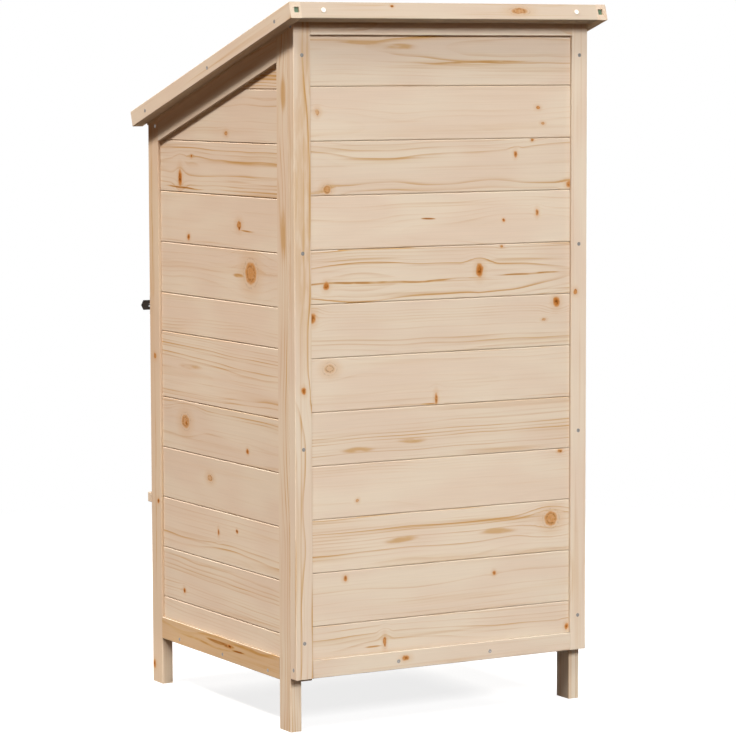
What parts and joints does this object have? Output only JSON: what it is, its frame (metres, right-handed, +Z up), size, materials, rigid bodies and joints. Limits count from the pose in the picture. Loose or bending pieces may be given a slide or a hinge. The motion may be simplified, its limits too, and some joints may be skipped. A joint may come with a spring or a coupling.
{
  "type": "garden shed",
  "caption": "Tall narrow timber garden shed with a lean-to roof, framed and boarded walls on legs, and a hinged door with a hasp and a turn button.",
  "frame": {"origin": "on the ground, under the middle of the roof", "axes": "+Z up, -Y towards the door and the low edge of the roof, +X to the right of someone facing the door"},
  "size_m": [0.6, 0.5912, 1.18],
  "materials": {
    "pine_frame": "planed, untreated",
    "pine_boards": "planed, untreated",
    "roofing_felt": "mineral grit",
    "black_steel": "satin black",
    "zinc_screws": "zinc plated",
    "green_plugs": "matte",
    "white_caps": "matte"
  },
  "bodies": {
    "cabinet": {"back_boards": "pine_boards", "back_bottom_rail": "pine_frame", "back_panel_screws": "zinc_screws", "back_stile_left": "pine_frame", "back_stile_right": "pine_frame", "back_top_rail": "pine_frame", "fascia_caps": "white_caps", "fascia_end_plugs": "green_plugs", "fascia_screws": "zinc_screws", "floor_bearer_left": "pine_frame", "floor_bearer_right": "pine_frame", "floor_boards": "pine_boards", "front_bottom_rail": "pine_frame", "front_top_rail": "pine_frame", "hasp_staple": "black_steel", "high_fascia": "pine_frame", "hinge_leg_leaf_lower": "black_steel", "hinge_leg_leaf_upper": "black_steel", "hinge_leg_screws": "zinc_screws", "hinge_pin_lower": "black_steel", "hinge_pin_upper": "black_steel", "leg_front_left": "pine_frame", "leg_front_right": "pine_frame", "leg_rear_left": "pine_frame", "leg_rear_right": "pine_frame", "leg_top_screws": "zinc_screws", "rafter_left": "pine_frame", "rafter_right": "pine_frame", "roof_boards": "pine_boards", "roof_felt": "roofing_felt", "side_boards_left": "pine_boards", "side_boards_right": "pine_boards", "side_bottom_rail_left": "pine_frame", "side_bottom_rail_right": "pine_frame", "side_fascia_left": "pine_frame", "side_fascia_right": "pine_frame", "side_rail_screws": "zinc_screws", "side_top_rail_left": "pine_frame", "side_top_rail_right": "pine_frame", "staple_screws": "zinc_screws", "stile_edge_screws": "zinc_screws", "turn_button_screw": "zinc_screws"},
    "door": {"door_stile_hinge": "pine_frame", "door_stile_latch": "pine_frame", "door_top_rail": "pine_frame", "door_bottom_rail": "pine_frame", "door_boards": "pine_boards", "hinge_door_leaf_upper": "black_steel", "hinge_door_leaf_lower": "black_steel", "hasp_plate": "black_steel", "hasp_pin": "black_steel", "hinge_door_screws": "zinc_screws", "hasp_screws": "zinc_screws"},
    "hasp": {"hasp_strap": "black_steel"},
    "turn_button": {"turn_button": "pine_frame"}
  },
  "joints": [
    {"name": "door_hinge", "type": "hinge", "parent": "cabinet", "child": "door", "pos_m": [-0.2585, -0.27047, 0.527], "axis": [0, 0, -1], "range_deg": [0, 170]},
    {"name": "hasp_pivot", "type": "hinge", "parent": "door", "child": "hasp", "pos_m": [0.243, -0.27037, 0.665], "axis": [0, 0, -1], "range_deg": [0, 165]},
    {"name": "turn_button_pivot", "type": "hinge", "parent": "cabinet", "child": "turn_button", "pos_m": [0.2645, -0.27367, 0.326], "axis": [0, 1, 0], "range_deg": [0, 180]}
  ]
}
